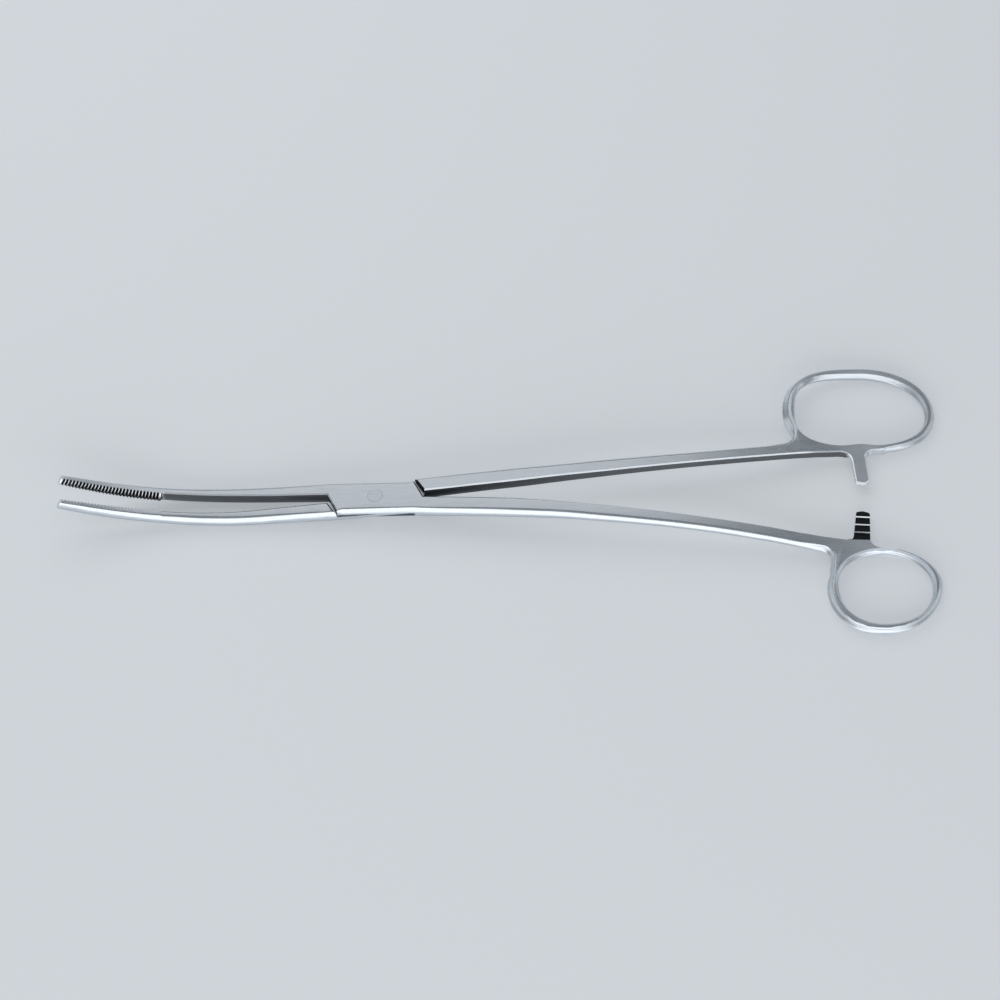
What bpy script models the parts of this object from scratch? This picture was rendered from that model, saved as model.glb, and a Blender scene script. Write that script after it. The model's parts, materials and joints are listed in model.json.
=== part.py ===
"""Sponge holding forceps: a long curved ring-handled forceps with a box lock and a ratchet.

Each half is one forging, lofted flat along its length and then bent to the curve of the
instrument. In the flat, X runs from the jaw tips (negative) to the finger rings (positive),
the pivot is at the origin, and the closed halves meet on Y = 0. The jaw of the slotted half
lies at +Y and its shank at -Y; the tongue half is its mirror image.
"""

import math

import bmesh
import bpy
import numpy as np
from mathutils import Euler, Vector

MM = 0.001

# Overall lengths along the bent instrument, from the pivot (mm)
JAW_LENGTH = 91.3
HANDLE_START = 112.0         # from here the outline of web, arm and ring takes over

# Side curve of the instrument (mm)
JAW_BEND_START = 33.2
JAW_BEND_LENGTH = 50.0
JAW_BEND_RADIUS = 112.0
SHANK_BEND_START = 24.1
SHANK_BEND_LENGTH = 102.5
SHANK_BEND_RADIUS = 439.0
RING_BEND_LENGTH = 14.0      # the handles level out again here
RING_BEND_RADIUS = 126.0

# Sections of one half: distance from the pivot, inner edge and outer edge from the closing line,
# thickness, width of the outer crown (mm)
JAW_SECTIONS = [
    (91.3, 0.06, 1.50, 3.2, 0.40),
    (90.9, 0.03, 1.57, 3.4, 0.42),
    (88.8, 0.04, 1.67, 3.6, 0.48),
    (84.9, 0.06, 1.88, 3.8, 0.58),
    (78.0, 0.12, 2.17, 4.05, 0.70),
    (67.2, 0.30, 2.69, 4.25, 0.95),
    (61.5, 0.38, 2.96, 4.3, 1.10),
    (50.0, 0.70, 3.58, 4.4, 1.30),
    (39.0, 0.82, 4.08, 4.5, 1.35),
    (27.0, 0.64, 4.35, 4.6, 1.25),
    (18.0, 0.56, 4.60, 4.9, 1.10),
    (13.8, 0.52, 4.70, 5.0, 1.00),
]
SHANK_SECTIONS = [
    (13.8, 0.45, 4.94, 5.0, 1.00),
    (18.7, 0.60, 5.20, 4.75, 1.10),
    (30.0, 1.00, 5.59, 4.5, 1.25),
    (41.5, 1.47, 6.05, 4.3, 1.35),
    (53.0, 2.27, 6.48, 4.1, 1.35),
    (64.3, 3.08, 7.22, 3.7, 1.35),
    (75.7, 4.05, 7.94, 3.5, 1.30),
    (98.4, 6.16, 9.76, 3.35, 1.30),
    (112.0, 7.52, 11.24, 3.35, 1.30),
]
HANDLE_THICKNESS = 3.35
EDGE_BREAK = 0.35            # bevel along the inner edges
SERRATED_EDGE = 0.10         # and along the serrated face
SHOULDER_BREAK = 0.38        # and along the shoulders of the lock
SECTION_STEP = 3.6           # spacing of the lofted sections

# Box lock (mm)
BOX_HALF_WIDTH = 4.75
BOX_THICKNESS = 5.0
BOX_CROWN = 1.0
SHOULDER_OUTER = 10.8        # shoulder corner at the side of the box
SHOULDER_INNER = 13.8        # shoulder corner at the closing line
LOWER_SHOULDER_OUTER = 2.5   # under the box the shoulder runs back to here at the side
SHOULDER_GAP = 0.45          # between the shoulders when the jaws are shut
UPPER_WALL = 2.4
LOWER_WALL = 1.0
TONGUE_PLAY = 0.08           # above and below the tongue
SLOT_END_PLAY = 0.35         # at the ends of the slot
RIVET_RADIUS = 1.6
RIVET_HEAD_RADIUS = 2.1
RIVET_HEAD_DEPTH = 0.5
RIVET_PLAY = 0.06
RIVET_SIDES = 32

# Serrations (mm)
TOOTH_COUNT = 30
TOOTH_PITCH = 0.98
TOOTH_DEPTH = 0.38
TOOTH_TIP_FLAT = 0.22        # share of the pitch that stays flat on top
TOOTH_START = 0.5            # from the jaw tip to the first tooth
TEETH_PER_SECTION = 3
SERRATION_STEP = 0.35        # the serrated face stands proud by this much

# Finger rings: centre of the opening from the pivot and from the closing line, its half length
# along the handle, half widths away from the other ring and towards it, roundness of the four
# quarters (2 is an ellipse) from the far outer end round to the inner end, toe-in in degrees (mm)
THUMB_HOLE = {
    "x": 139.7, "y": 22.1, "along": 18.75, "outer": 12.5, "inner": 10.3,
    "round": (1.98, 3.2, 3.05, 2.45), "toe_in": 0.85, "crown": 0.75, "bump": 0.7,
}
THUMB_OUTSIDE = {
    "along": 21.3, "outer": 15.42, "inner": 12.35, "round": (2.07, 2.65, 2.3, 2.5), "bump": 0.0,
}
FINGER_HOLE = {
    "x": 145.05, "y": 23.6, "along": 13.3, "outer": 12.0, "inner": 10.75,
    "round": (2.3, 2.05, 2.3, 1.8), "toe_in": 8.4, "crown": 1.0, "bump": 0.0,
}
FINGER_OUTSIDE = {
    "along": 16.1, "outer": 14.7, "inner": 12.4, "round": (1.97, 2.25, 1.95, 1.8), "bump": 0.0,
}
RING_CROWN = 1.2             # rounding of the outside of the rings
RING_STEPS = 60
BUMP_DIRECTION = 268.0       # the web swells into the large ring's opening opposite the arm
BUMP_SPREAD = 34.0
THUMB_SKIRT = 1.1            # the rings' rear ends bulge below their middle by this much
FINGER_SKIRT = 0.5
SKIRT_MIDDLE = 180.0
SKIRT_SPREAD = 38.0

# Handle outlines beyond HANDLE_START: along, across, corner radius (mm). First the inner edge with
# the ratchet arm up to the ring, then the corner between the ring and the shank's outer edge
THUMB_INNER_EDGE = [
    (116.5, 8.02, 0), (121.0, 8.50, 0), (126.5, 9.00, 0), (136.0, 9.50, 3.2), (136.9, -0.75, 0),
    (138.9, -1.35, 1.2), (140.7, -0.90, 0.9), (140.1, 9.55, 2.3), (146.0, 9.95, 12.0),
]
THUMB_OUTER_CORNER = [(119.3, 12.75, 3.0)]
FINGER_INNER_EDGE = [
    (116.5, 8.10, 0), (121.0, 8.60, 0), (126.5, 9.10, 0), (136.0, 9.70, 2.6), (136.85, -0.60, 0.7),
    (138.7, -1.05, 1.4), (140.7, -0.45, 0.9), (140.9, 10.9, 2.6), (145.5, 12.0, 9.0),
]
FINGER_OUTER_CORNER = [(129.7, 13.45, 2.6)]
THUMB_RING_ARC = (-47.0, 195.0)      # directions between which the ring's own outside shows
FINGER_RING_ARC = (-62.0, 197.0)

# Ratchet (mm)
SAW_ENDS = (134.9, 141.35)   # ends of the saw cut across the lower arm
UNDER_SAW_ENDS = (133.7, 143.2)
RATCHET_TEETH = 3
RATCHET_PITCH = 2.5
RATCHET_DEPTH = 0.75
RATCHET_FIRST = 0.85         # first crest from the closing line
RATCHET_WALL = 9.55          # step from the teeth to the web's full thickness
UNDER_RATCHET_WALL = 9.3
RATCHET_PLAY = 0.10          # from the crests to the middle plane

# Photographed position
HALF_OPENING = 2.1           # each half from the closed line, degrees

# Directions of the points round a crowned side, from the top face to the underside
CROWN_ANGLES = (90, 65, 40, 15, -15, -40, -65, -90)

STEEL_COLOUR = (0.60, 0.63, 0.67, 1.0)
RIVET_COLOUR = (0.56, 0.59, 0.63, 1.0)


def smooth_value(table, distance, column):
    """Value in a column of a section table at a distance, on a smooth curve."""
    rows = sorted(table)
    xs = np.array([row[0] for row in rows])
    ys = np.array([row[column] for row in rows])
    distance = float(np.clip(distance, xs[0], xs[-1]))
    slopes = np.gradient(ys, xs)
    index = int(np.clip(np.searchsorted(xs, distance) - 1, 0, len(xs) - 2))
    span = xs[index + 1] - xs[index]
    t = (distance - xs[index]) / span
    rise = 2 * t ** 3 - 3 * t ** 2 + 1
    return float(
        rise * ys[index]
        + (t ** 3 - 2 * t ** 2 + t) * span * slopes[index]
        + (1 - rise) * ys[index + 1]
        + (t ** 3 - t ** 2) * span * slopes[index + 1]
    )


def blend(a, b, share):
    """Eased value between a and b."""
    share = min(max(share, 0.0), 1.0)
    return a + (b - a) * share * share * (3 - 2 * share)


def crowned(width, half):
    """Insets and heights of a rounded side, top to bottom."""
    angles = [math.radians(angle) for angle in CROWN_ANGLES]
    return [(width * (1 - math.cos(a)), half * math.sin(a)) for a in angles]


def bevelled(edge, half):
    """Insets and heights of an upright side with a bevel at its top and bottom."""
    count = len(CROWN_ANGLES)
    side = half - edge
    heights = [side - 2 * side * k / (count - 3) for k in range(count - 2)]
    return [(edge, half)] + [(0.0, height) for height in heights] + [(edge, -half)]


def mixed(first, second, share):
    """A side shape between two others."""
    return [(blend(a[0], b[0], share), blend(a[1], b[1], share)) for a, b in zip(first, second)]


def column(x, y, inward, shape):
    """Points of one side at a place, inset along a plan direction."""
    return [(x + inward[0] * inset, y + inward[1] * inset, height) for inset, height in shape]


def inward_of(before, here, after):
    """Plan direction into the body at a corner of an outline that runs clockwise."""
    first = Vector((here[0] - before[0], here[1] - before[1])).normalized()
    second = Vector((after[0] - here[0], after[1] - here[1])).normalized()
    first = Vector((first.y, -first.x))
    second = Vector((second.y, -second.x))
    middle = (first + second).normalized()
    return middle / max(middle.dot(first), 0.6)


def rounded(corners):
    """Outline through corners given as along, across and radius, with arcs in place of corners."""
    points = []
    for index, (x, y, radius) in enumerate(corners):
        here = Vector((x, y))
        if radius == 0 or index in (0, len(corners) - 1):
            points.append((x, y))
            continue
        back = (Vector(corners[index - 1][:2]) - here).normalized()
        ahead = (Vector(corners[index + 1][:2]) - here).normalized()
        half_angle = back.angle(ahead) / 2
        centre = here + (back + ahead).normalized() * radius / math.sin(half_angle)
        reach = radius / math.tan(half_angle)
        start = here + back * reach - centre
        end = here + ahead * reach - centre
        turn = start.angle_signed(end)
        steps = max(2, round(abs(math.degrees(turn)) / 16))
        for k in range(steps + 1):
            a = -turn * k / steps
            spot = Vector((start.x * math.cos(a) - start.y * math.sin(a),
                           start.x * math.sin(a) + start.y * math.cos(a)))
            points.append(tuple(centre + spot))
    return points


def ring_outline(hole, size, directions):
    """Points of a ring's opening or outside at directions in degrees, in the flat, on the +Y side."""
    turn = -math.radians(hole["toe_in"])
    points = []
    for direction in directions:
        a = math.radians(direction)
        c = math.cos(a)
        s = math.sin(a)
        across = size["outer"] if s > 0 else size["inner"]
        quarter = int(direction % 360 // 90)
        power = size["round"][quarter]
        reach = ((abs(c) / size["along"]) ** power + (abs(s) / across) ** power) ** (-1 / power)
        away = (direction - BUMP_DIRECTION) / BUMP_SPREAD
        reach -= size["bump"] * max(0.0, 1 - away * away) ** 2
        u = reach * c
        v = reach * s
        x = hole["x"] + u * math.cos(turn) - v * math.sin(turn)
        y = hole["y"] + u * math.sin(turn) + v * math.cos(turn)
        points.append((x, y))
    return points


def body_mesh(name, stations, outline, cuts):
    """Closed body: paired columns along jaw, lock and shank, then the outline of the handle."""
    mesh = bpy.data.meshes.new(name)
    bm = bmesh.new()

    def make(points):
        return [bm.verts.new((x * MM, y * MM, z * MM)) for x, y, z in points]

    def wall(first, second):
        for k in range(len(first) - 1):
            bm.faces.new((first[k], first[k + 1], second[k + 1], second[k]))

    rows = [(make(low), make(high), [make(extra) for extra in between]) for low, high, between in stations]
    for (low, high, between), (next_low, next_high, _) in zip(rows, rows[1:]):
        chain = [low] + between + [next_low]
        for first, second in zip(chain, chain[1:]):
            wall(first, second)
        wall(next_high, high)
        bm.faces.new([c[0] for c in chain] + [next_high[0], high[0]])
        bm.faces.new([c[-1] for c in reversed(chain)] + [high[-1], next_high[-1]])
    bm.faces.new(rows[0][0] + list(reversed(rows[0][1])))
    loop = [rows[-1][1]] + [make(points) for points in outline] + [rows[-1][0]]
    for first, second in zip(loop, loop[1:]):
        wall(first, second)
    bm.faces.new([c[0] for c in loop])
    bm.faces.new([c[-1] for c in reversed(loop)])
    for x in cuts:
        everything = bm.verts[:] + bm.edges[:] + bm.faces[:]
        bmesh.ops.bisect_plane(bm, geom=everything, dist=1e-7, plane_co=(x * MM, 0, 0), plane_no=(1, 0, 0))
    bmesh.ops.triangulate(bm, faces=bm.faces)
    bmesh.ops.recalc_face_normals(bm, faces=bm.faces)
    bm.to_mesh(mesh)
    bm.free()
    return mesh


def tooth_marks():
    """Distances from the pivot, with the depth of the serration there."""
    marks = []
    first = JAW_LENGTH - TOOTH_START
    for k in range(TOOTH_COUNT):
        crest = first - k * TOOTH_PITCH
        half_flat = TOOTH_PITCH * TOOTH_TIP_FLAT / 2
        marks.append((crest + half_flat, 0.0))
        marks.append((crest - half_flat, 0.0))
        marks.append((crest - TOOTH_PITCH / 2, TOOTH_DEPTH))
    return marks


def jaw_columns(distance, depth, serrated):
    """Inner and outer columns of the jaw at +Y, at a distance from the pivot."""
    inner, outer, thickness, crown = (smooth_value(JAW_SECTIONS, distance, k) for k in (1, 2, 3, 4))
    inner += depth if serrated else SERRATION_STEP
    edge = SERRATED_EDGE if serrated else EDGE_BREAK
    low = column(-distance, inner, (0, 1), bevelled(edge, thickness / 2))
    high = column(-distance, outer, (0, -1), crowned(crown, thickness / 2))
    return low, high


def jaw_stations():
    """Stations of the jaw at +Y, tip first: inner column, outer column, inner columns after it."""
    marks = [(JAW_LENGTH, 0.0), (JAW_LENGTH - 0.3, 0.0)] + tooth_marks()
    stations = []
    for index, (distance, depth) in enumerate(marks):
        low, high = jaw_columns(distance, depth, True)
        if index > 1 and (index - 2) % (3 * TEETH_PER_SECTION):
            stations[-1][2].append(low)
        else:
            stations.append((low, high, []))
    step = marks[-1][0] + 0.05
    stations[-1][2].pop()
    low, high = jaw_columns(step, 0.0, True)
    stations.append((low, high, []))
    distance = step - 0.35
    while distance > SHOULDER_INNER + 1.5:
        low, high = jaw_columns(distance, 0.0, False)
        stations.append((low, high, []))
        distance -= SECTION_STEP
    return stations


def box_stations():
    """Stations of the box, with both its shoulders."""
    half = BOX_THICKNESS / 2
    wide = BOX_HALF_WIDTH
    jaw_inner = smooth_value(JAW_SECTIONS, SHOULDER_INNER, 1) + SERRATION_STEP
    shank_inner = smooth_value(SHANK_SECTIONS, SHOULDER_INNER, 1)
    shoulder = bevelled(SHOULDER_BREAK, half)
    side = crowned(BOX_CROWN, half)
    left = inward_of((-SHOULDER_OUTER, -wide), (-SHOULDER_INNER, jaw_inner), (-SHOULDER_INNER - 5, jaw_inner))
    right = inward_of((SHOULDER_OUTER, wide), (SHOULDER_INNER, -shank_inner), (SHOULDER_INNER + 5, -shank_inner))
    stations = [
        (column(-SHOULDER_INNER, jaw_inner, left, shoulder),
         column(-SHOULDER_INNER, wide, (0, -1), side), []),
        (column(-SHOULDER_OUTER, -wide, left, shoulder),
         column(-SHOULDER_OUTER, wide, (0, -1), side), []),
    ]
    for x in (-9.4, -4.7, 0.0, 4.7, 9.4):
        stations.append((column(x, -wide, (0, 1), side), column(x, wide, (0, -1), side), []))
    stations.append((column(SHOULDER_OUTER, -wide, (0, 1), side), column(SHOULDER_OUTER, wide, right, shoulder), []))
    return stations


def shank_stations():
    """Stations of the shank at -Y, up to where the handle outline starts."""
    half = BOX_THICKNESS / 2
    shank_inner = smooth_value(SHANK_SECTIONS, SHOULDER_INNER, 1)
    right = inward_of((SHOULDER_OUTER, BOX_HALF_WIDTH), (SHOULDER_INNER, -shank_inner),
                      (SHOULDER_INNER + 5, -shank_inner))
    outer = smooth_value(SHANK_SECTIONS, SHOULDER_INNER, 2)
    stations = [(
        column(SHOULDER_INNER, -outer, (0, 1), crowned(BOX_CROWN, half)),
        column(SHOULDER_INNER, -shank_inner, right, bevelled(SHOULDER_BREAK, half)), [],
    )]
    count = round((HANDLE_START - SHOULDER_INNER) / (SECTION_STEP * 1.4))
    for k in range(1, count + 1):
        distance = SHOULDER_INNER + (HANDLE_START - SHOULDER_INNER) * k / count
        inner, outer, thickness, crown = (smooth_value(SHANK_SECTIONS, distance, c) for c in (1, 2, 3, 4))
        low = column(distance, -outer, (0, 1), crowned(crown, thickness / 2))
        high = column(distance, -inner, (0, -1), bevelled(EDGE_BREAK, thickness / 2))
        stations.append((low, high, []))
    return stations


def handle_outline(hole, outside, inner_edge, corner, arc, skirt):
    """Columns round web, arm and ring at -Y, from the shank's inner edge to its outer edge."""
    half = HANDLE_THICKNESS / 2
    start_inner = smooth_value(SHANK_SECTIONS, HANDLE_START, 1)
    start_outer = smooth_value(SHANK_SECTIONS, HANDLE_START, 2)
    steps = round((arc[1] - arc[0]) / 360 * RING_STEPS)
    directions = [arc[0] + (arc[1] - arc[0]) * k / steps for k in range(steps + 1)]
    ring = ring_outline(hole, outside, directions)
    inner_points = rounded([(HANDLE_START, start_inner, 0)] + inner_edge + [(*ring[0], 0)])[1:-1]
    outer_points = rounded([(*ring[-1], 0)] + corner + [(HANDLE_START, start_outer, 0)])[1:-1]
    points = [(HANDLE_START, start_inner)] + inner_points + ring + outer_points + [(HANDLE_START, start_outer)]
    columns = []
    for index in range(1, len(points) - 1):
        x, y = points[index]
        inward = inward_of(points[index - 1], points[index], points[index + 1])
        past = index - len(inner_points)
        share = past / 4 + 0.5 if index > len(inner_points) - 4 else 0.0
        crown = RING_CROWN
        if past > len(ring):
            crown = smooth_value(SHANK_SECTIONS, HANDLE_START, 4)
        shape = mixed(bevelled(EDGE_BREAK, half), crowned(crown, half), share)
        if 0 < past <= len(ring):
            away = (directions[past - 1] - SKIRT_MIDDLE) / SKIRT_SPREAD
            bulge = skirt * max(0.0, 1 - away * away)
            shape = [(inset - bulge * blend(0.0, 1.0, 0.5 - height / half), height) for inset, height in shape]
        columns.append([(px, -py, pz) for px, py, pz in column(x, y, (-inward[0], -inward[1]), shape)])
    return columns


def hole_cutter(name, hole):
    """Cutter for a ring's opening, flared at its top and bottom, at -Y."""
    half = HANDLE_THICKNESS / 2
    crown = hole["crown"]
    levels = [(crown + 0.4, half + 0.4), (crown, half), (crown * 0.24, half * 0.52), (0.0, half * 0.15)]
    levels += [(offset, -height) for offset, height in reversed(levels)]
    directions = [360 * k / RING_STEPS for k in range(RING_STEPS)]
    points = ring_outline(hole, hole, directions)
    mesh = bpy.data.meshes.new(name)
    bm = bmesh.new()
    rings = []
    for offset, height in levels:
        loop = []
        for index, (x, y) in enumerate(points):
            inward = inward_of(points[index - 1], (x, y), points[(index + 1) % RING_STEPS])
            loop.append(bm.verts.new(((x + inward[0] * offset) * MM, -(y + inward[1] * offset) * MM, height * MM)))
        rings.append(loop)
    for first, second in zip(rings, rings[1:]):
        for k in range(RING_STEPS):
            n = (k + 1) % RING_STEPS
            bm.faces.new((first[k], first[n], second[n], second[k]))
    bm.faces.new(rings[0])
    bm.faces.new(list(reversed(rings[-1])))
    bmesh.ops.recalc_face_normals(bm, faces=bm.faces)
    bm.to_mesh(mesh)
    bm.free()
    return mesh


def stack(name, layers):
    """Closed body through outlines of the same count at rising heights."""
    mesh = bpy.data.meshes.new(name)
    bm = bmesh.new()
    loops = [[bm.verts.new((x * MM, y * MM, height * MM)) for x, y in outline] for height, outline in layers]
    count = len(loops[0])
    for first, second in zip(loops, loops[1:]):
        for k in range(count):
            n = (k + 1) % count
            bm.faces.new((first[k], first[n], second[n], second[k]))
    bm.faces.new(loops[0])
    bm.faces.new(list(reversed(loops[-1])))
    bmesh.ops.recalc_face_normals(bm, faces=bm.faces)
    bm.to_mesh(mesh)
    bm.free()
    return mesh


def ratchet_cut(name, ends, wall):
    """Cutter that saws the teeth into the upper face of an arm that points to +Y."""
    crest = -RATCHET_PLAY
    valley = crest - RATCHET_DEPTH
    land = RATCHET_PITCH * 0.06
    profile = [(8.0, 6.0), (8.0, valley)]
    for k in range(RATCHET_TEETH):
        y = -RATCHET_FIRST - k * RATCHET_PITCH
        profile += [(y + RATCHET_PITCH - land, valley), (y, crest), (y - land, crest)]
    last = profile[-1][0]
    profile += [(last, valley), (-wall + land, crest), (-wall, crest), (-wall, 6.0)]
    mesh = bpy.data.meshes.new(name)
    bm = bmesh.new()
    side_a = [bm.verts.new((ends[0] * MM, y * MM, z * MM)) for y, z in profile]
    side_b = [bm.verts.new((ends[1] * MM, y * MM, z * MM)) for y, z in profile]
    count = len(profile)
    for k in range(count):
        n = (k + 1) % count
        bm.faces.new((side_a[k], side_a[n], side_b[n], side_b[k]))
    bm.faces.new(side_a)
    bm.faces.new(list(reversed(side_b)))
    bmesh.ops.recalc_face_normals(bm, faces=bm.faces)
    bm.to_mesh(mesh)
    bm.free()
    return mesh


def mirrored(mesh, y=1, z=1):
    """The mesh with Y or Z turned round, faces still pointing out."""
    bm = bmesh.new()
    bm.from_mesh(mesh)
    bmesh.ops.scale(bm, verts=bm.verts, vec=(1, y, z))
    bmesh.ops.recalc_face_normals(bm, faces=bm.faces)
    bm.to_mesh(mesh)
    bm.free()
    return mesh


def combine(name, mesh, steps):
    """Mesh after Boolean steps, each an operation and a tool mesh."""
    body = bpy.data.objects.new(name, mesh)
    bpy.context.scene.collection.objects.link(body)
    tools = []
    for index, (operation, tool_mesh) in enumerate(steps):
        tool = bpy.data.objects.new("%s_tool_%d" % (name, index), tool_mesh)
        bpy.context.scene.collection.objects.link(tool)
        tools.append(tool)
        modifier = body.modifiers.new("step_%d" % index, "BOOLEAN")
        modifier.operation = operation
        modifier.solver = "EXACT"
        modifier.object = tool
    bpy.context.view_layer.update()
    graph = bpy.context.evaluated_depsgraph_get()
    result = bpy.data.meshes.new_from_object(body.evaluated_get(graph))
    for thing in [body] + tools:
        bpy.data.objects.remove(thing)
    return result


def box_plan(outer, gap, reach):
    """Outline between the two shoulders of the slotted half, grown past them by a gap."""
    slope = (SHOULDER_INNER - outer) / BOX_HALF_WIDTH
    shift = SHOULDER_INNER + gap * math.hypot(1, slope)
    swing = slope * reach
    return [(-shift - swing, reach), (-shift + swing, -reach), (shift + swing, -reach), (shift - swing, reach)]


def slot_plan(gap, reach):
    """Outline of the tongue, wider by a gap at its ends and open past both sides of the box."""
    slope = (SHOULDER_INNER - SHOULDER_OUTER) / BOX_HALF_WIDTH
    shift = gap * math.hypot(1, slope)
    waist = SHOULDER_INNER + shift
    corner = waist - slope * reach
    return [(-waist, 0), (-waist, -reach), (corner, -reach), (waist, 0), (waist, reach), (-corner, reach)]


def side_curve(distance):
    """Position and slope angle of the bent middle line at a signed distance from the pivot."""
    if distance < 0:
        parts = [(JAW_BEND_START, 0.0), (JAW_BEND_LENGTH, 1 / JAW_BEND_RADIUS), (1e6, 0.0)]
    else:
        parts = [
            (SHANK_BEND_START, 0.0),
            (SHANK_BEND_LENGTH, -1 / SHANK_BEND_RADIUS),
            (RING_BEND_LENGTH, 1 / RING_BEND_RADIUS),
            (1e6, 0.0),
        ]
    left = abs(distance)
    x = z = angle = 0.0
    for length, curvature in parts:
        run = min(left, length)
        if curvature:
            turned = angle + run * curvature
            x += (math.sin(turned) - math.sin(angle)) / curvature
            z += (math.cos(angle) - math.cos(turned)) / curvature
            angle = turned
        else:
            x += run * math.cos(angle)
            z += run * math.sin(angle)
        left -= run
        if left <= 0:
            break
    if distance < 0:
        return -x, z, -angle
    return x, z, angle


def bend(mesh):
    """Bends a flat mesh to the side curve of the instrument."""
    bm = bmesh.new()
    bm.from_mesh(mesh)
    bmesh.ops.triangulate(bm, faces=bm.faces)
    for vert in bm.verts:
        x, z, angle = side_curve(vert.co.x / MM)
        height = vert.co.z
        vert.co.x = x * MM - math.sin(angle) * height
        vert.co.z = z * MM + math.cos(angle) * height
    bmesh.ops.recalc_face_normals(bm, faces=bm.faces)
    bm.to_mesh(mesh)
    bm.free()
    return mesh


def rivet_mesh(name, play):
    """The pivot rivet, countersunk and ground flush at both ends, or the hole for it."""
    half = BOX_THICKNESS / 2 - (0.0 if play == 0 else -1.0)
    mesh = bpy.data.meshes.new(name)
    bm = bmesh.new()
    radius = RIVET_RADIUS + play
    head = RIVET_HEAD_RADIUS + play
    flush = BOX_THICKNESS / 2
    profile = [(0.0, half), (head, half), (head, flush), (radius, flush - RIVET_HEAD_DEPTH),
               (radius, -flush + RIVET_HEAD_DEPTH), (head, -flush), (head, -half), (0.0, -half)]
    if play == 0:
        profile = [point for k, point in enumerate(profile) if k not in (2, 5)]
    verts = [bm.verts.new((r * MM, 0, z * MM)) for r, z in profile]
    edges = [bm.edges.new(pair) for pair in zip(verts, verts[1:])]
    bmesh.ops.spin(bm, geom=verts + edges, axis=(0, 0, 1), cent=(0, 0, 0), angle=2 * math.pi,
                   steps=RIVET_SIDES, use_duplicate=False)
    bmesh.ops.remove_doubles(bm, verts=bm.verts, dist=1e-6)
    bmesh.ops.recalc_face_normals(bm, faces=bm.faces)
    bm.to_mesh(mesh)
    bm.free()
    return mesh


def half_blank(name, hole, outside, inner_edge, corner, arc, skirt, teeth_up):
    """One half in the flat, jaw at +Y and handle at -Y, before the lock is cut."""
    bend_start = SHANK_BEND_START + SHANK_BEND_LENGTH
    cuts = [HANDLE_START + (bend_start - HANDLE_START) * k / 3 for k in (1, 2, 3)]
    cuts += [bend_start + RING_BEND_LENGTH * k / 4 for k in (1, 2, 3, 4)]
    stations = jaw_stations() + box_stations() + shank_stations()
    outline = handle_outline(hole, outside, inner_edge, corner, arc, skirt)
    mesh = body_mesh(name, stations, outline, cuts)
    if teeth_up:
        saw = ratchet_cut(name + "_saw", SAW_ENDS, RATCHET_WALL)
    else:
        saw = mirrored(ratchet_cut(name + "_saw", UNDER_SAW_ENDS, UNDER_RATCHET_WALL), z=-1)
    steps = [("DIFFERENCE", hole_cutter(name + "_hole", hole)), ("DIFFERENCE", saw)]
    return combine(name + "_blank", mesh, steps)


def slotted_half():
    """The half with the box: the tongue of the other half passes through its slot."""
    blank = half_blank("slotted", FINGER_HOLE, FINGER_OUTSIDE, FINGER_INNER_EDGE, FINGER_OUTER_CORNER,
                       FINGER_RING_ARC, FINGER_SKIRT, True)
    half = BOX_THICKNESS / 2
    top = half - UPPER_WALL
    bottom = -half + LOWER_WALL
    reach = 9.0
    slot = stack("slot", [(bottom, slot_plan(SLOT_END_PLAY, reach)), (top, slot_plan(SLOT_END_PLAY, reach))])
    hole = rivet_mesh("rivet_hole", RIVET_PLAY)
    low_line = box_plan(LOWER_SHOULDER_OUTER, 0.0, reach)
    slope = (SHOULDER_INNER - LOWER_SHOULDER_OUTER) / BOX_HALF_WIDTH
    rise = 0.5
    left_cut = [(-SHOULDER_INNER - slope * rise, rise), low_line[1], (-22.0, -reach), (-22.0, rise)]
    right_cut = [(-x, -y) for x, y in left_cut]
    steps = [("DIFFERENCE", slot), ("DIFFERENCE", hole)]
    for name, outline in (("left_under", left_cut), ("right_under", right_cut)):
        steps.append(("DIFFERENCE", stack(name, [(bottom - 8.0, outline), (bottom + 0.2, outline)])))
    return bend(combine("slotted", blank, steps))


def tongue_half():
    """The half with the tongue: it is cut away above and below where the box covers it."""
    blank = mirrored(half_blank("tongue", THUMB_HOLE, THUMB_OUTSIDE, THUMB_INNER_EDGE, THUMB_OUTER_CORNER,
                                THUMB_RING_ARC, THUMB_SKIRT, False), y=-1)
    half = BOX_THICKNESS / 2
    top = half - UPPER_WALL - TONGUE_PLAY
    bottom = -half + LOWER_WALL + TONGUE_PLAY
    reach = 9.0
    plain = box_plan(SHOULDER_OUTER, SHOULDER_GAP, reach)
    flared = box_plan(SHOULDER_OUTER, SHOULDER_GAP + SHOULDER_BREAK * 3, reach)
    above = stack("above", [(top, plain), (half - SHOULDER_BREAK, plain), (half + SHOULDER_BREAK * 2, flared)])
    under = box_plan(LOWER_SHOULDER_OUTER, SHOULDER_GAP, reach)
    below = stack("below", [(bottom - 8.0, under), (bottom, under)])
    bore = bpy.data.meshes.new("bore")
    bm = bmesh.new()
    bmesh.ops.create_cone(bm, cap_ends=True, segments=RIVET_SIDES, radius1=(RIVET_RADIUS + RIVET_PLAY) * MM,
                          radius2=(RIVET_RADIUS + RIVET_PLAY) * MM, depth=BOX_THICKNESS * 2 * MM)
    bm.to_mesh(bore)
    bm.free()
    steps = [("DIFFERENCE", above), ("DIFFERENCE", below), ("DIFFERENCE", bore)]
    return bend(combine("tongue", blank, steps))


def steel(name, colour):
    """Satin stainless steel."""
    material = bpy.data.materials.new(name)
    material.use_nodes = True
    shader = material.node_tree.nodes["Principled BSDF"]
    shader.inputs["Base Color"].default_value = colour
    shader.inputs["Metallic"].default_value = 1.0
    shader.inputs["Roughness"].default_value = 0.32
    material.diffuse_color = colour
    return material


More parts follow.
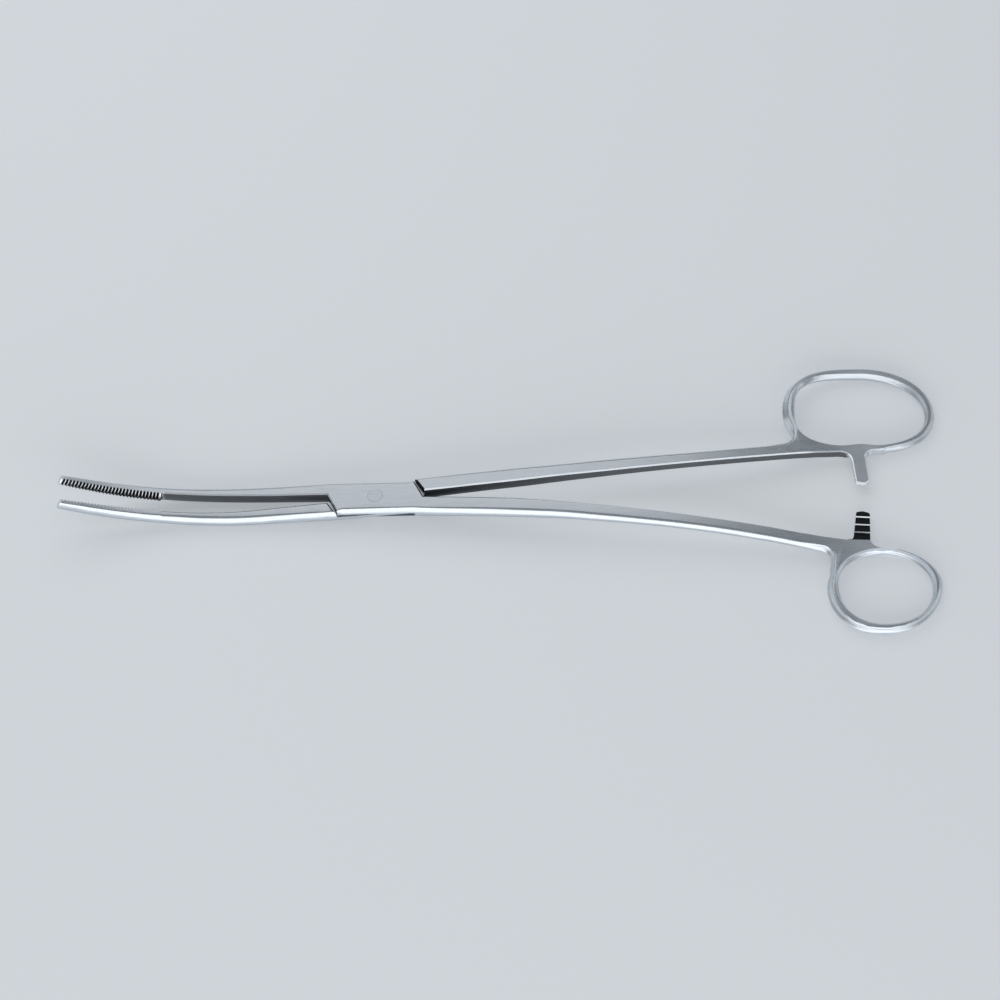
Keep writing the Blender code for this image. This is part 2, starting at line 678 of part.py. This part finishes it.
def lying_angle(thickness):
    """Angle about Y at which the jaws and the rings touch the table together."""
    def underside(distances):
        points = []
        for distance in distances:
            x, z, angle = side_curve(distance)
            half = thickness(distance) / 2
            points.append((x + math.sin(angle) * half, z - math.cos(angle) * half))
        return points
    jaws = underside(np.linspace(-JAW_LENGTH, -SHOULDER_INNER, 200))
    ring_end = FINGER_HOLE["x"] + FINGER_OUTSIDE["along"] - RING_CROWN
    rings = underside(np.linspace(HANDLE_START, ring_end, 60))
    low, high = -math.radians(15), math.radians(15)
    for _ in range(60):
        middle = (low + high) / 2
        jaw_z = min(z * math.cos(middle) + x * math.sin(middle) for x, z in jaws)
        ring_z = min(z * math.cos(middle) + x * math.sin(middle) for x, z in rings)
        if ring_z < jaw_z:
            low = middle
        else:
            high = middle
    return middle, min(jaw_z, ring_z)


def body_thickness(distance):
    """Thickness of a jaw or of a ring at a signed distance from the pivot."""
    if distance < 0:
        return smooth_value(JAW_SECTIONS, -distance, 3)
    return HANDLE_THICKNESS


def add_node(name, mesh, material, collection, parent):
    """A named piece under its parent empty."""
    node = bpy.data.objects.new(name, mesh)
    mesh.materials.clear()
    mesh.materials.append(material)
    collection.objects.link(node)
    node.parent = parent
    mesh.shade_smooth()
    mesh.set_sharp_from_angle(angle=math.radians(40))
    return node


def centre_on_table(nodes, frame):
    """Moves the frame so that the box round all pieces has its base centre at the origin."""
    bpy.context.view_layer.update()
    corners = np.array([node.matrix_world @ vert.co for node in nodes for vert in node.data.vertices])
    low = corners.min(axis=0)
    high = corners.max(axis=0)
    frame.location.x -= (low[0] + high[0]) / 2
    frame.location.y -= (low[1] + high[1]) / 2
    frame.location.z -= low[2]
    bpy.context.view_layer.update()


def build():
    """Builds the instrument as it lies on a table, jaws slightly open."""
    for thing in list(bpy.data.objects):
        bpy.data.objects.remove(thing)
    collection = bpy.data.collections.new("sponge_holding_forceps")
    bpy.context.scene.collection.children.link(collection)
    frame = bpy.data.objects.new("pivot_frame", None)
    frame.empty_display_size = 0.01
    collection.objects.link(frame)
    angle, _ = lying_angle(body_thickness)
    frame.rotation_euler = Euler((0, -angle, 0))
    slotted = add_node("slotted_half", slotted_half(), steel("slotted_steel", STEEL_COLOUR), collection, frame)
    tongue = add_node("tongue_half", tongue_half(), steel("tongue_steel", STEEL_COLOUR), collection, frame)
    rivet = add_node("pivot_rivet", rivet_mesh("rivet", 0), steel("rivet_steel", RIVET_COLOUR), collection, frame)
    slotted.rotation_euler.z = -math.radians(HALF_OPENING)
    rivet.rotation_euler.z = -math.radians(HALF_OPENING)
    tongue.rotation_euler.z = math.radians(HALF_OPENING)
    centre_on_table([slotted, tongue, rivet], frame)


build()
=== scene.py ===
"""Sponge holding forceps on a plain pale floor, in soft studio light."""

import json
import math

import bpy
from mathutils import Matrix, Vector


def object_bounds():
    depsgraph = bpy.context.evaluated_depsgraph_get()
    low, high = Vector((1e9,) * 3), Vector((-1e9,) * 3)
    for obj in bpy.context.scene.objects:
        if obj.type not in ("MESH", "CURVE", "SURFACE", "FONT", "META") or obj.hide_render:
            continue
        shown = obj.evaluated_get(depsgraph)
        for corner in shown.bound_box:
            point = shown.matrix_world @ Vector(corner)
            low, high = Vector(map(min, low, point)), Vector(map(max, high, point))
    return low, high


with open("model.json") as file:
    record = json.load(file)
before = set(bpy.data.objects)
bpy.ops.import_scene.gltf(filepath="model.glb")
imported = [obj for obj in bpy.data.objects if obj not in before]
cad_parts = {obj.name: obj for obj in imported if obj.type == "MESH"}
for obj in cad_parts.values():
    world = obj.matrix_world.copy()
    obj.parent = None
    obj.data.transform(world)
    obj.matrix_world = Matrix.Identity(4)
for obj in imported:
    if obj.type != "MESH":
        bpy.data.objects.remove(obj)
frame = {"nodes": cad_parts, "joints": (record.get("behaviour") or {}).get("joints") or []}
cad_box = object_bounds()
nodes = frame["nodes"]

# Camera: place (m) and directions in the frame of the part, lens and sensor (mm)
CAMERA_PLACE = (0.035955, -0.71057, 1.235478)
CAMERA_RIGHT = (0.999585, 0.0, -0.028792)
CAMERA_FORWARD = (-0.024935, 0.5, -0.865666)
CAMERA_LENS = 180.0
SENSOR_WIDTH = 36.0
CLIP_START = 0.05
CLIP_END = 50.0

# Places along the instrument (m), from its two ends and from the hinge
JAW_TIP = cad_box[0][0]
HANDLE_END = cad_box[1][0]
PIVOT = next(joint["pos_m"][0] for joint in frame["joints"] if joint["name"] == "lock_hinge")
TEETH_START = JAW_TIP + 0.00057
TEETH_END = JAW_TIP + 0.02947
TEETH_FADE = 0.0002
SHANK_END = HANDLE_END - 0.02497
SHANK_FADE = 0.0006
ARM_LEFT = HANDLE_END - 0.02617
ARM_RIGHT = HANDLE_END - 0.01837
ARM_FADE = 0.0001
RINGS = (HANDLE_END - 0.04097, HANDLE_END - 0.03097)
RING_SIDES = (HANDLE_END - 0.04497, HANDLE_END - 0.03297)
LOCK = (PIVOT - 0.004, PIVOT + 0.004)
SHOULDERS = (PIVOT - 0.0145, PIVOT + 0.0165)
SHOULDER_FADE = 0.0004
PAST_BOX = (0.0115, 0.0125)
RIMS_ALONG = (ARM_LEFT - 0.003, ARM_RIGHT + 0.002)

# Places across it (m), from the closing line
SHANKS_ACROSS = (0.0165, 0.018)
ARM_ACROSS = (0.014, 0.0142)
RIMS_ACROSS = (0.002, 0.0165)
RIMS_FADE = 0.0005

# Faces, by a part of their normal: a mask changes softly between two limits
INNER_FACE = (0.72, 0.9)
INNER_EDGE = (0.25, 0.4)
EDGE_RISE = (0.35, 0.5)
WALL = (0.35, 0.5)
GROOVE_FLANK = (0.42, 0.9)
GROOVE_FADE = 0.03
GROOVE_WALL = (0.45, 0.6)
LAND = (0.9, 0.95)
RATCHET_SLOPE = (0.7, 0.85)
SHOULDER_FACE = (0.35, 0.5)
FLAT = (0.88, 0.985)
UNDERSIDE = (-0.6, 0.1)
LEANING_SIDE = (0.35, 0.65)
LEANING_FOOT = (-0.8, -0.3)
RIM_END = (0.25, 0.5)
RIM_BEVEL = (0.45, 0.93)
RIM_BEVEL_FADE = 0.03
RING_SHOULDER = (0.6, 0.97)
RING_SHOULDER_FADE = 0.02

# How far the shading leans: sides, ratchet walls, lands of the teeth, ring sides that look along X, rims
SIDE_LEAN = 0.42
WALL_LEAN = 0.9
LAND_LEAN = 0.85
RING_X_LEAN = 0.75
RIM_LEAN_X = -0.57
RIM_LEAN_Y = -0.62

# Steel: colours, and tones as factors of the colour; besides the tint, the tones are painted shade and
# painted sheen
STEEL = (0.63, 0.665, 0.705)
RIVET_STEEL = (0.60, 0.635, 0.675)
TINT_RANGE = (0.96, 1.03)
# Painted shade on inner faces that look at the other half: jaws, then shanks
INNER_SHADE_TONES = (0.36, 0.24)
# Painted shade dims the bevels along inner edges: jaws, then shanks
EDGE_SHADE_TONES = (0.40, 0.85)
# Painted shade in tooth grooves, on ratchet slopes and on the lock's shoulders, which get a share of it
PAINTED_SHADE_TONE = 0.05
SHOULDER_SHADE = 0.9
# Painted sheen: sides and bevels lighter than the flats
SIDE_SHEEN_TONE = 1.12
# Painted shade on faces turned down
UNDERSIDE_SHADE_TONE = 0.66

# Steel: roughness, and what the marks and places add to it
SIDE_ROUGHNESS = 0.25
FLAT_ROUGHNESS = 0.29
BRUSH_ROUGHNESS = (-0.035, 0.045)
MOTTLE_ROUGHNESS = (-0.015, 0.02)
INNER_ROUGHNESS = 0.2
DARK_ROUGHNESS = 0.25
RING_ROUGHNESS = (0.13, 0.02)
RIVET_ROUGHNESS = (0.25, 0.34)

# Marks: grains per metre, stretch along the axes, detail
BRUSH = (1000.0, (0.05, 2.4, 2.4), 3.0)
RIVET_BRUSH = (1000.0, (0.06, 2.4, 2.4), 3.0)
MOTTLE = (420.0, (0.35, 1.0, 1.0), 3.0)
GRAIN = (5200.0, (1.0, 1.0, 1.0), 2.0)
MARK_SPREAD = (0.3, 0.7)
TINT_SPREAD = (0.25, 0.75)
NOISE_ROUGHNESS = 0.6

# Relief of the marks, on sides and on flats
GRAIN_RELIEF = (0.04, 0.25)
MOTTLE_RELIEF = (0.08, 0.35)
RELIEF_STRENGTH = 0.12
RIVET_RELIEF_STRENGTH = 0.08
RELIEF_DEPTH = 0.00004

# Smooth shading: distance of points to weld (m), sharpest edge to smooth (degrees), weight of the area
WELD_DISTANCE = 1e-6
SHARP_ANGLE = 40.0
AREA_WEIGHT = 50

# Floor: half its width (m), colours, and the part of its paleness that doesn't depend on the lamps
FLOOR_REACH = 4.0
FLOOR_COLOUR = (0.78, 0.81, 0.84)
FLOOR_ROUGHNESS = 0.9
FLOOR_GLOW_COLOUR = (0.93, 0.965, 1.0)
FLOOR_GLOW = 0.28

# Light from all around, and lamps: place, point aimed at, width and height (m), radiance
WORLD_COLOUR = (0.88, 0.94, 1.0)
WORLD_STRENGTH = 0.27
LAMPS = {
    "overhead": ((-0.21, 0.36, 0.45), (-0.21, 0.05, 0.0), (0.70, 0.50), 0.56),
    "front": ((0.0, -0.80, 0.31), (0.0, 0.0, 0.31), (1.5, 0.60), 1.22),
    "left": ((-0.95, 0.0, 0.26), (0.0, 0.0, 0.10), (0.8, 0.40), 0.5),
    "right": ((1.05, 0.0, 0.26), (0.0, 0.0, 0.10), (0.8, 0.40), 0.5),
}


def smooth_shading(piece):
    """Smooth normals across the facets of rounded sides, weighted by area; edges stay crisp."""
    weld = piece.modifiers.new("weld", "WELD")
    weld.merge_threshold = WELD_DISTANCE
    crisp = piece.modifiers.new("crisp_edges", "EDGE_SPLIT")
    crisp.split_angle = math.radians(SHARP_ANGLE)
    crisp.use_edge_sharp = False
    even = piece.modifiers.new("even_normals", "WEIGHTED_NORMAL")
    even.mode = "FACE_AREA"
    even.weight = AREA_WEIGHT


class Tree:
    """Builds the shader nodes of one material."""

    def __init__(self, name):
        self.material = bpy.data.materials.new(name)
        self.material.use_nodes = True
        self.tree = self.material.node_tree
        self.shader = next(n for n in self.tree.nodes if n.type == "BSDF_PRINCIPLED")

    def node(self, kind, inputs=(), **values):
        """A node with attributes, and inputs that are either sockets or plain values."""
        node = self.tree.nodes.new(kind)
        for key, value in values.items():
            setattr(node, key, value)
        for key, value in dict(inputs).items():
            self.feed(node.inputs[key], value)
        return node

    def feed(self, socket, value):
        """Links a socket or sets its value."""
        if isinstance(value, bpy.types.NodeSocket):
            self.tree.links.new(value, socket)
        else:
            socket.default_value = value

    def feed_shader(self, **values):
        """Feeds inputs of the shader, named with underscores for spaces."""
        for key, value in values.items():
            self.feed(self.shader.inputs[key.replace("_", " ")], value)

    def maths(self, operation, first, second=0.0):
        """Result of one sum on sockets or numbers."""
        return self.node("ShaderNodeMath", {0: first, 1: second}, operation=operation).outputs[0]

    def total(self, *terms):
        """Sum of several sockets."""
        result = terms[0]
        for term in terms[1:]:
            result = self.maths("ADD", result, term)
        return result

    def product(self, *factors):
        """Product of several sockets."""
        result = factors[0]
        for factor in factors[1:]:
            result = self.maths("MULTIPLY", result, factor)
        return result

    def ramp(self, value, limits, start=0.0, end=1.0):
        """Smooth step from start to end while the value goes from the first limit to the second."""
        low, high = limits
        inputs = {"Value": value, "From Min": low, "From Max": high, "To Min": start, "To Max": end}
        return self.node("ShaderNodeMapRange", inputs, interpolation_type="SMOOTHSTEP").outputs[0]

    def above(self, value, limits):
        """One above two limits, nought below them."""
        return self.ramp(value, limits)

    def below(self, value, limits):
        """One below two limits, nought above them."""
        return self.ramp(value, limits, 1.0, 0.0)

    def within(self, value, limits, soft):
        """One between two limits, nought outside them."""
        low, high = limits
        entered = self.above(value, (low - soft, low + soft))
        not_left = self.below(value, (high - soft, high + soft))
        return self.product(entered, not_left)

    def fade(self, mask, start, end):
        """Value that goes from start to end with a mask."""
        return self.ramp(mask, (0.0, 1.0), start, end)

    def tone(self, mask, change):
        """Factor that is one where the mask is nought, and differs from one by the change where it is one."""
        return self.maths("ADD", 1.0, self.product(mask, change))

    def noise(self, place, grains, stretch, detail):
        """Noise at a number of grains per metre, stretched along the axes."""
        scale = tuple(grains * s for s in stretch)
        mapping = self.node("ShaderNodeMapping", {"Vector": place, "Scale": scale})
        inputs = {"Vector": mapping.outputs[0], "Scale": 1.0, "Detail": detail, "Roughness": NOISE_ROUGHNESS}
        return self.node("ShaderNodeTexNoise", inputs).outputs[0]

    def bump(self, height, strength, inputs=()):
        """Normal with a relief of the marks."""
        inputs = {"Height": height, "Strength": strength, "Distance": RELIEF_DEPTH, **dict(inputs)}
        return self.node("ShaderNodeBump", inputs).outputs[0]


class ForgedHalf(Tree):
    """Satin steel of one half: brushed flats, polished edges and sides with painted sheen, and painted shade
    on inner faces and their bevels, grooves, ratchet slopes, lock shoulders and faces turned down.

    The hand is 1 for the half whose shank is the near one, and -1 for the other. The shoulders of the
    lock get painted shadow up to the given limits of the normal's height, with their bevels or without.
    The ring sheen is painted sheen on the sides of the rings.
    """

    def __init__(self, name, hand, shoulder_wall, ring_sheen, ring_lean):
        super().__init__(name)
        self.hand = float(hand)
        sources = self.node("ShaderNodeTexCoord").outputs
        self.place = sources["Object"]
        self.normal = sources["Normal"]
        self.x, self.y = self.node("ShaderNodeSeparateXYZ", {0: self.place}).outputs[:2]
        parts = self.node("ShaderNodeSeparateXYZ", {0: self.normal}).outputs
        self.normal_x, self.normal_y, self.normal_z = parts
        self.upright = self.maths("ABSOLUTE", self.normal_z)
        self.lengthwise = self.maths("ABSOLUTE", self.normal_x)
        self.flat = self.above(self.upright, FLAT)
        self.ring = self.above(self.x, RINGS)
        self.brush = self.noise(self.place, *BRUSH)
        self.mottle = self.noise(self.place, *MOTTLE)
        self.mark_faces(shoulder_wall)
        self.set_roughness()
        self.set_colour(ring_sheen)
        self.set_shading(ring_lean)

    def mark_faces(self, shoulder_wall):
        """Masks for inner faces and their edges, teeth, the ratchet and the shoulders of the lock; most of
        them mark where shade is painted.
        """
        from_pivot = self.maths("SUBTRACT", self.x, PIVOT)
        closing = self.product(self.normal_y, self.maths("SIGN", from_pivot), self.hand)
        inboard = self.product(
            self.within(self.x, (TEETH_END, SHANK_END), SHANK_FADE),
            self.below(self.maths("ABSOLUTE", self.y), SHANKS_ACROSS),
            self.above(self.maths("ABSOLUTE", from_pivot), PAST_BOX),
        )
        # Painted shade: inner faces that look at the other half
        self.inner = self.product(self.above(closing, INNER_FACE), self.below(self.upright, WALL), inboard)
        # Painted shade: bevels along the inner edges, so they show less highlight
        raised = self.above(self.normal_z, EDGE_RISE)
        self.edge = self.product(self.above(closing, INNER_EDGE), raised, inboard)
        # Painted shade in the grooves between the teeth
        grooves = self.product(
            self.within(closing, GROOVE_FLANK, GROOVE_FADE),
            self.below(self.upright, GROOVE_WALL),
            self.below(self.x, (TEETH_END - 2 * TEETH_FADE, TEETH_END)),
        )
        self.lands = self.product(
            self.above(closing, LAND),
            self.within(self.x, (TEETH_START, TEETH_END - TEETH_FADE), TEETH_FADE),
        )
        self.arm = self.product(
            self.within(self.x, (ARM_LEFT, ARM_RIGHT), ARM_FADE),
            self.below(self.product(self.y, -self.hand), ARM_ACROSS),
        )
        # Painted shade on the ratchet slopes
        slopes = self.product(self.above(self.product(self.normal_z, self.hand), RATCHET_SLOPE), self.arm)
        # Painted shadow on the lock's shoulders
        shoulders = self.product(
            self.above(self.lengthwise, SHOULDER_FACE),
            self.below(self.upright, shoulder_wall),
            self.within(self.x, SHOULDERS, SHOULDER_FADE),
        )
        dark = self.total(grooves, slopes, self.product(shoulders, SHOULDER_SHADE))
        self.dark = self.maths("MINIMUM", dark, 1.0)

    def set_roughness(self):
        """Flats are satin, sides and bevels polished, inner and dark faces dull."""
        self.feed_shader(Roughness=self.total(
            self.fade(self.flat, SIDE_ROUGHNESS, FLAT_ROUGHNESS),
            self.ramp(self.brush, MARK_SPREAD, *BRUSH_ROUGHNESS),
            self.ramp(self.mottle, MARK_SPREAD, *MOTTLE_ROUGHNESS),
            self.product(self.inner, INNER_ROUGHNESS),
            self.product(self.dark, DARK_ROUGHNESS),
            self.product(self.ring, self.fade(self.flat, *RING_ROUGHNESS)),
        ))

    def set_colour(self, ring_sheen):
        """Steel with a faint mottle, toned by face with painted shade and painted sheen; jaws and shanks have
        their own tones of painted shade on inner faces.
        """
        tint = self.node("ShaderNodeMix", {"Factor": self.ramp(self.mottle, TINT_SPREAD)}, data_type="RGBA")
        for key, factor in zip("AB", TINT_RANGE):
            self.feed(tint.inputs[key], (*(c * factor for c in STEEL), 1.0))
        # Tones of painted shade on inner faces and their bevels: jaws, then shanks
        inner_shade_tone = self.ramp(self.x, LOCK, *INNER_SHADE_TONES)
        edge_shade_tone = self.ramp(self.x, LOCK, *EDGE_SHADE_TONES)
        # Sides of the rings, where painted sheen goes
        ring_sides = self.product(self.ring, self.fade(self.flat, 1.0, 0.0))
        shade = self.product(
            # Painted shade on inner faces
            self.tone(self.inner, self.maths("SUBTRACT", inner_shade_tone, 1.0)),
            # Painted shade on the bevels of inner edges
            self.tone(self.edge, self.maths("SUBTRACT", edge_shade_tone, 1.0)),
            # Painted shade in grooves, on ratchet slopes and on lock shoulders
            self.fade(self.dark, 1.0, PAINTED_SHADE_TONE),
            # Painted sheen: sides and bevels lighter than the flats
            self.fade(self.flat, SIDE_SHEEN_TONE, 1.0),
            # Painted shade on faces turned down
            self.ramp(self.normal_z, UNDERSIDE, UNDERSIDE_SHADE_TONE, 1.0),
            # Painted sheen on the sides of the rings
            self.tone(ring_sides, ring_sheen),
        )
        toned = self.node("ShaderNodeVectorMath", {0: tint.outputs["Result"]}, operation="SCALE")
        self.feed(toned.inputs["Scale"], shade)
        self.feed_shader(Base_Color=toned.outputs[0], Metallic=1.0)

    def side_lean(self, ring_lean):
        """Upward lean of the shading: sides are buffed rounder than their facets."""
        along = self.product(self.ring, self.lengthwise, RING_X_LEAN)
        amount = self.total(self.ramp(self.x, RING_SIDES, SIDE_LEAN, ring_lean), along)
        amount = self.maths("MAXIMUM", amount, self.product(self.arm, WALL_LEAN))
        amount = self.maths("MAXIMUM", amount, self.product(self.lands, LAND_LEAN))
        sides = self.product(self.below(self.normal_z, LEANING_SIDE), self.above(self.normal_z, LEANING_FOOT))
        return self.product(sides, amount)

    def rims(self):
        """Mask for the long edges of the upper ratchet arm."""
        return self.product(
            self.above(self.lengthwise, RIM_END),
            self.within(self.normal_z, RIM_BEVEL, RIM_BEVEL_FADE),
            self.within(self.x, RIMS_ALONG, RIMS_FADE),
            self.within(self.y, RIMS_ACROSS, RIMS_FADE),
        )

    def set_shading(self, ring_lean):
        """Leans the normal where the steel is rounder than its facets, and adds the relief of the marks."""
        off_arm = self.maths("SUBTRACT", 1.0, self.arm)
        shoulder = self.within(self.normal_z, RING_SHOULDER, RING_SHOULDER_FADE)
        ring_tops = self.product(self.ring, shoulder, off_arm)
        lean_x = self.product(self.normal_x, ring_tops)
        lean_y = self.product(self.normal_y, ring_tops)
        if self.hand < 0:
            # The long edges of the upper arm catch the light as its root does
            rims = self.rims()
            lean_x = self.total(lean_x, self.product(self.normal_x, rims, RIM_LEAN_X))
            lean_y = self.total(lean_y, self.product(rims, RIM_LEAN_Y))
        lean = self.node("ShaderNodeCombineXYZ", {"X": lean_x, "Y": lean_y, "Z": self.side_lean(ring_lean)})
        leaned = self.node("ShaderNodeVectorMath", {0: self.normal, 1: lean.outputs[0]}, operation="ADD")
        turned = self.node(
            "ShaderNodeVectorTransform", {"Vector": leaned.outputs[0]},
            vector_type="NORMAL", convert_from="OBJECT", convert_to="WORLD",
        )
        relief = self.total(
            self.product(self.brush, self.flat),
            self.product(self.noise(self.place, *GRAIN), self.fade(self.flat, *GRAIN_RELIEF)),
            self.product(self.mottle, self.fade(self.flat, *MOTTLE_RELIEF)),
        )
        self.feed_shader(Normal=self.bump(relief, RELIEF_STRENGTH, {"Normal": turned.outputs[0]}))


def rivet_steel(name):
    """Ground face of the rivet, with faint turning marks."""
    t = Tree(name)
    brush = t.noise(t.node("ShaderNodeTexCoord").outputs["Object"], *RIVET_BRUSH)
    t.feed_shader(
        Base_Color=(*RIVET_STEEL, 1.0),
        Metallic=1.0,
        Roughness=t.ramp(brush, MARK_SPREAD, *RIVET_ROUGHNESS),
        Normal=t.bump(brush, RIVET_RELIEF_STRENGTH),
    )
    return t.material


def dress():
    """Gives each piece smooth shading and its own material."""
    # Ring sheen is painted sheen on the sides of the rings, stronger on the slotted half
    slotted = ForgedHalf(
        "slotted_satin_steel", hand=1, shoulder_wall=(0.3, 0.4), ring_sheen=0.15, ring_lean=0.5,
    )
    # On the tongue half, the painted shadow on the lock's shoulders covers their bevels too
    tongue = ForgedHalf(
        "tongue_satin_steel", hand=-1, shoulder_wall=(0.8, 0.9), ring_sheen=0.03, ring_lean=0.3,
    )
    looks = {
        "slotted_half": slotted.material,
        "tongue_half": tongue.material,
        "pivot_rivet": rivet_steel("rivet_satin_steel"),
    }
    for name, material in looks.items():
        smooth_shading(nodes[name])
        nodes[name].material_slots[0].material = material


def floor():
    """Plain pale floor, which shows as pale to the eye and in the steel and keeps its shadow."""
    mesh = bpy.data.meshes.new("floor")
    corners = [(-1, -1), (1, -1), (1, 1), (-1, 1)]
    mesh.from_pydata([(x * FLOOR_REACH, y * FLOOR_REACH, 0) for x, y in corners], [], [(0, 1, 2, 3)])
    plane = bpy.data.objects.new("floor", mesh)
    bpy.context.scene.collection.objects.link(plane)
    t = Tree("pale_floor")
    path = t.node("ShaderNodeLightPath").outputs
    seen = t.maths("MAXIMUM", path["Is Camera Ray"], path["Is Glossy Ray"])
    seen = t.maths("MAXIMUM", seen, path["Is Transmission Ray"])
    t.feed_shader(
        Base_Color=(*FLOOR_COLOUR, 1.0),
        Roughness=FLOOR_ROUGHNESS,
        Emission_Color=(*FLOOR_GLOW_COLOUR, 1.0),
        Emission_Strength=t.maths("MULTIPLY", seen, FLOOR_GLOW),
    )
    mesh.materials.append(t.material)


def lamp(name, place, aim, size, radiance):
    """Rectangular soft light aimed at a point; its face has the given radiance."""
    light = bpy.data.lights.new(name, "AREA")
    light.shape = "RECTANGLE"
    light.size, light.size_y = size
    light.energy = radiance * size[0] * size[1] * math.pi
    holder = bpy.data.objects.new(name, light)
    bpy.context.scene.collection.objects.link(holder)
    holder.location = place
    holder.rotation_euler = (Vector(aim) - Vector(place)).to_track_quat("-Z", "Y").to_euler()
    holder.visible_camera = False


def lights():
    """World and soft lights."""
    world = bpy.data.worlds.new("studio")
    bpy.context.scene.world = world
    world.use_nodes = True
    back = world.node_tree.nodes["Background"]
    back.inputs["Color"].default_value = (*WORLD_COLOUR, 1.0)
    back.inputs["Strength"].default_value = WORLD_STRENGTH
    for name, values in LAMPS.items():
        lamp(name, *values)


def camera():
    """Long lens, at the photograph's viewing angle."""
    data = bpy.data.cameras.new("camera")
    data.lens = CAMERA_LENS
    data.sensor_width = SENSOR_WIDTH
    data.clip_start = CLIP_START
    data.clip_end = CLIP_END
    holder = bpy.data.objects.new("camera", data)
    bpy.context.scene.collection.objects.link(holder)
    right = Vector(CAMERA_RIGHT)
    forward = Vector(CAMERA_FORWARD)
    turn = Matrix((right, right.cross(forward), -forward)).transposed().to_4x4()
    turn.translation = Vector(CAMERA_PLACE)
    holder.matrix_world = turn
    bpy.context.scene.camera = holder


camera()
dress()
floor()
lights()
bpy.context.scene.view_settings.view_transform = "Standard"
